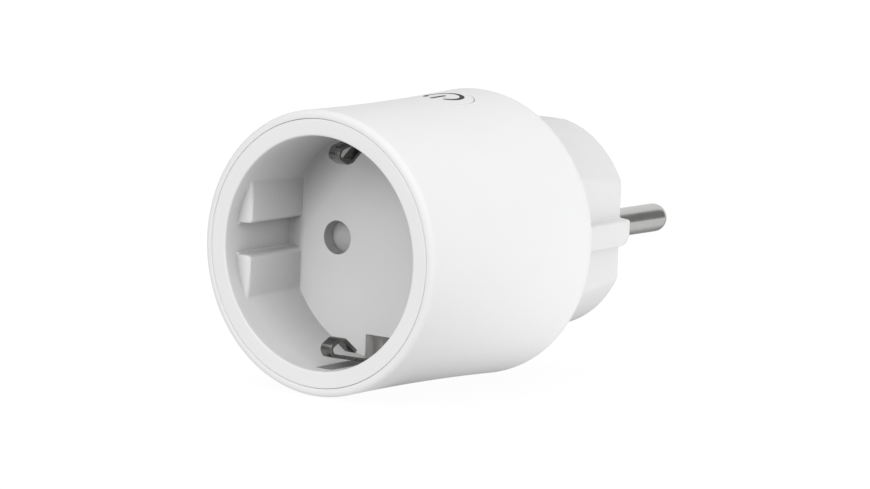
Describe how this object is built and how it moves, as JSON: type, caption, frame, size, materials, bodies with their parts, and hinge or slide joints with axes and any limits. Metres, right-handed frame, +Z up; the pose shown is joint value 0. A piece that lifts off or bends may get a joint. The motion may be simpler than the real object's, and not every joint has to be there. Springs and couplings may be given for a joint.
{
  "type": "plug-in power meter",
  "caption": "Round white plug-through power meter with an earthed round-pin socket in front, a matching plug behind and a push button on top.",
  "frame": {"origin": "centre of the plug's engagement face, midway between the two pins", "axes": "+Y along the pins, out of the rear; the socket opens towards -Y; +X towards the neutral pin; +Z up, with the button on top"},
  "size_m": [0.0482, 0.0828, 0.0482],
  "materials": {
    "shell_white": "fine satin white polycarbonate",
    "insert_white": "satin white polycarbonate",
    "button_white": "fine satin white polycarbonate",
    "light_guide_grey": "smoked translucent light guide",
    "shutter_grey": "satin light grey plastic",
    "carrier_grey": "matt grey glass filled nylon",
    "contact_brass": "stamped brass",
    "clip_steel": "dark nickel plated spring strip",
    "pin_nickel": "nickel plated brass, satin",
    "spring_steel": "spring wire",
    "screw_steel": "zinc plated steel",
    "board_green": "green solder mask",
    "relay_blue": "blue relay cover",
    "can_aluminium": "sleeved aluminium can",
    "film_yellow": "yellow potted case",
    "varistor_blue": "blue epoxy coating",
    "ferrite_grey": "wound ferrite drum",
    "fuse_green": "green coated fusible resistor",
    "chip_black": "moulded chip package",
    "shunt_copper": "copper alloy shunt",
    "header_black": "pin header",
    "shield_tin": "tinned shield can",
    "led_clear": "clear lens",
    "switch_grey": "switch housing",
    "plunger_black": "switch plunger",
    "wire_brown": "brown insulation",
    "wire_blue": "blue insulation",
    "wire_green": "green and yellow insulation",
    "plug_white": "fine satin white polycarbonate"
  },
  "bodies": {
    "housing": {"outer_sleeve": "shell_white", "socket_insert": "insert_white", "plug_body": "plug_white", "shutter_spring": "spring_steel", "earth_bridge": "contact_brass", "plug_earth_bracket": "pin_nickel", "contact_carrier": "carrier_grey", "carrier_screws": "screw_steel", "live_contact": "contact_brass", "neutral_contact": "contact_brass", "live_pin": "pin_nickel", "neutral_pin": "pin_nickel", "main_board": "board_green", "board_screws": "screw_steel", "relay": "relay_blue", "bulk_capacitors": "can_aluminium", "x2_capacitor": "film_yellow", "varistor": "varistor_blue", "power_inductor": "ferrite_grey", "fuse_resistor": "fuse_green", "metering_chip": "chip_black", "bridge_rectifier": "chip_black", "supply_chip": "chip_black", "metering_shunt": "shunt_copper", "control_board": "board_green", "board_header": "header_black", "radio_board": "board_green", "radio_shield_can": "shield_tin", "status_led": "led_clear", "tact_switch_body": "switch_grey", "live_wire": "wire_brown", "neutral_wire": "wire_blue", "earth_wire": "wire_green"},
    "button": {"power_button": "button_white", "button_light_guide": "light_guide_grey"},
    "switch_plunger": {"tact_switch_plunger": "plunger_black"},
    "shutter": {"safety_shutter": "shutter_grey"},
    "clip_top": {"earth_clip_top": "clip_steel"},
    "clip_bottom": {"earth_clip_bottom": "clip_steel"}
  },
  "joints": [
    {"name": "button_press", "type": "slide", "parent": "housing", "child": "button", "axis": [0, 0, -1], "range_m": [0, 0.0003], "stiffness_N_per_m": 30},
    {"name": "plunger_press", "type": "slide", "parent": "housing", "child": "switch_plunger", "axis": [0, 0, -1], "range_m": [0, 0.0003]},
    {"name": "shutter_turn", "type": "hinge", "parent": "housing", "child": "shutter", "pos_m": [0, -0.04355, 0], "axis": [0, 1, 0], "range_deg": [0, 38], "stiffness_Nm_per_rad": 0.002, "deforming": ["shutter_spring"]},
    {"name": "earth_clip_top_flex", "type": "hinge", "parent": "housing", "child": "clip_top", "pos_m": [0, -0.039, 0.02005], "axis": [-1, 0, 0], "range_deg": [0, 5], "stiffness_Nm_per_rad": 0.01},
    {"name": "earth_clip_bottom_flex", "type": "hinge", "parent": "housing", "child": "clip_bottom", "pos_m": [0, -0.039, -0.02005], "axis": [1, 0, 0], "range_deg": [0, 5], "stiffness_Nm_per_rad": 0.01}
  ],
  "couplings": [
    {"joint": "plunger_press", "follows": "button_press", "ratio": 1}
  ]
}
